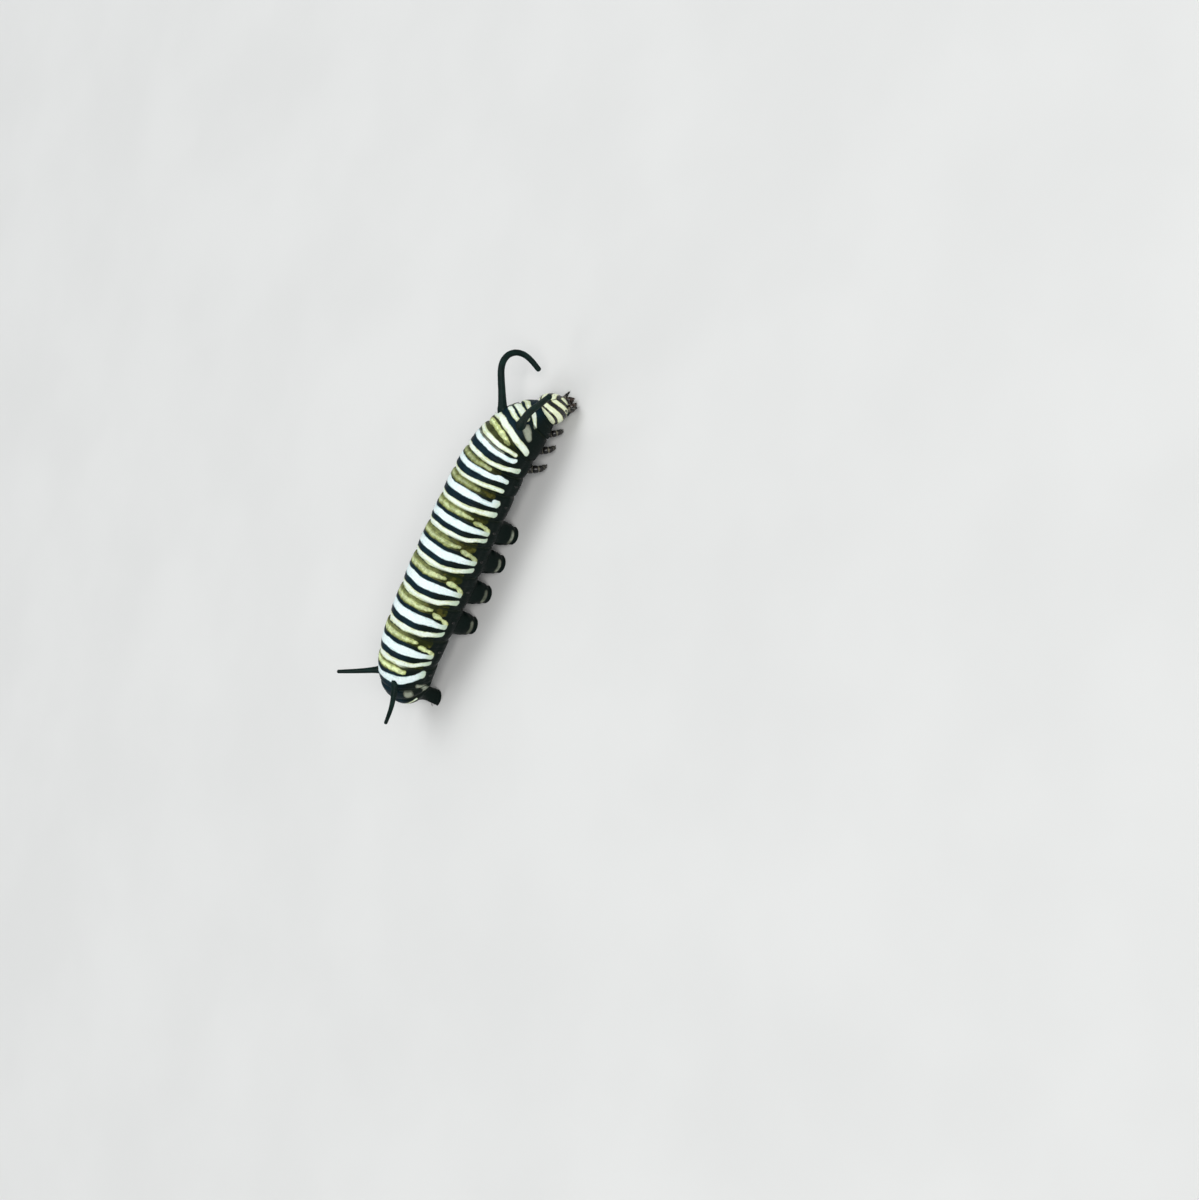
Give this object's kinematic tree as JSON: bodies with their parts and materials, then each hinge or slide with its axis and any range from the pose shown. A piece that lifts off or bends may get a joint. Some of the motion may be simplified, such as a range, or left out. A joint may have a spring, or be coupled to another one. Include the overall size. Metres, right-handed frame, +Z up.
{
  "type": "monarch butterfly larva",
  "caption": "Full-grown monarch larva at life size, standing on its fleshy prolegs with its head bowed, ringed in bands, with black feelers at head and tail.",
  "frame": {"origin": "on the ground, under the middle of the whole larva's box", "axes": "+Y along the body from head to tail, +Z up from the soles to the back, +X to the animal's left"},
  "size_m": [0.0144, 0.0428, 0.0103],
  "materials": {
    "banded_skin": "soft skin with a low sheen, ringed in white, cream, olive yellow and blue-black bands",
    "head_capsule": "hard polished shell, pale with black arches",
    "mouthparts": "hard glossy black",
    "tentacle": "fleshy green-black with a low sheen",
    "leg": "hard glossy black",
    "proleg": "fleshy black with a low sheen"
  },
  "bodies": {
    "root": {"thorax_1": "banded_skin", "thorax_2": "banded_skin", "thorax_3": "banded_skin", "abdomen_1": "banded_skin", "abdomen_2": "banded_skin", "abdomen_3": "banded_skin", "abdomen_4": "banded_skin", "abdomen_5": "banded_skin", "abdomen_6": "banded_skin", "abdomen_7": "banded_skin", "abdomen_8": "banded_skin", "abdomen_9": "banded_skin", "abdomen_10": "banded_skin", "head": "head_capsule", "labium": "mouthparts", "mandible_left": "mouthparts", "antenna_left": "mouthparts", "mandible_right": "mouthparts", "antenna_right": "mouthparts", "tentacle_front_left_1": "tentacle", "tentacle_front_left_2": "tentacle", "tentacle_front_left_3": "tentacle", "tentacle_front_right_1": "tentacle", "tentacle_front_right_2": "tentacle", "tentacle_rear_left": "tentacle", "tentacle_rear_right": "tentacle", "leg_t1_left": "leg", "leg_t1_right": "leg", "leg_t2_left": "leg", "leg_t2_right": "leg", "leg_t3_left": "leg", "leg_t3_right": "leg", "proleg_a3_left": "proleg", "proleg_a3_right": "proleg", "proleg_a4_left": "proleg", "proleg_a4_right": "proleg", "proleg_a5_left": "proleg", "proleg_a5_right": "proleg", "proleg_a6_left": "proleg", "proleg_a6_right": "proleg", "proleg_a10_left": "proleg", "proleg_a10_right": "proleg"}
  },
  "joints": []
}
